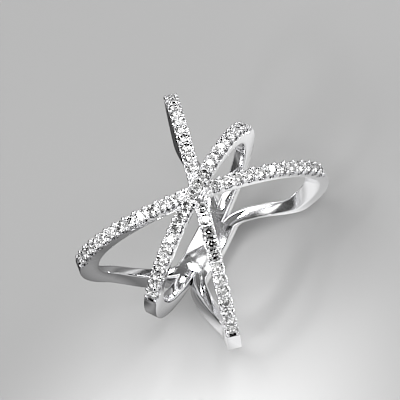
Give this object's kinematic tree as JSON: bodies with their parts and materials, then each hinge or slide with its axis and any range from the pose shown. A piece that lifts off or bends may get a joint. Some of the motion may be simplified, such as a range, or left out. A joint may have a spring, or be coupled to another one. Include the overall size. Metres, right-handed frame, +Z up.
{
  "type": "criss-cross stone-set finger ring",
  "caption": "Finger ring of narrow bands that cross at the front, each set with a row of small round clear stones, and run together into a plain shank at the back. Lies tipped on a table.",
  "frame": {"origin": "middle of the ring's footprint, on the table that it lies on", "axes": "+Z up from the table, +X across the finger, to the right of the ring seen from the crossing; -Y towards the crossing of the bands, which faces forward and up"},
  "size_m": [0.021, 0.0194, 0.0196],
  "materials": {
    "silver": "mirror-polished silver with a bright rhodium plating",
    "stone": "clear round brilliant stones, faceted and polished"
  },
  "bodies": {
    "root": {"silver_band": "silver", "middle_stones": "stone", "rising_stones": "stone", "falling_stones": "stone"}
  },
  "joints": []
}
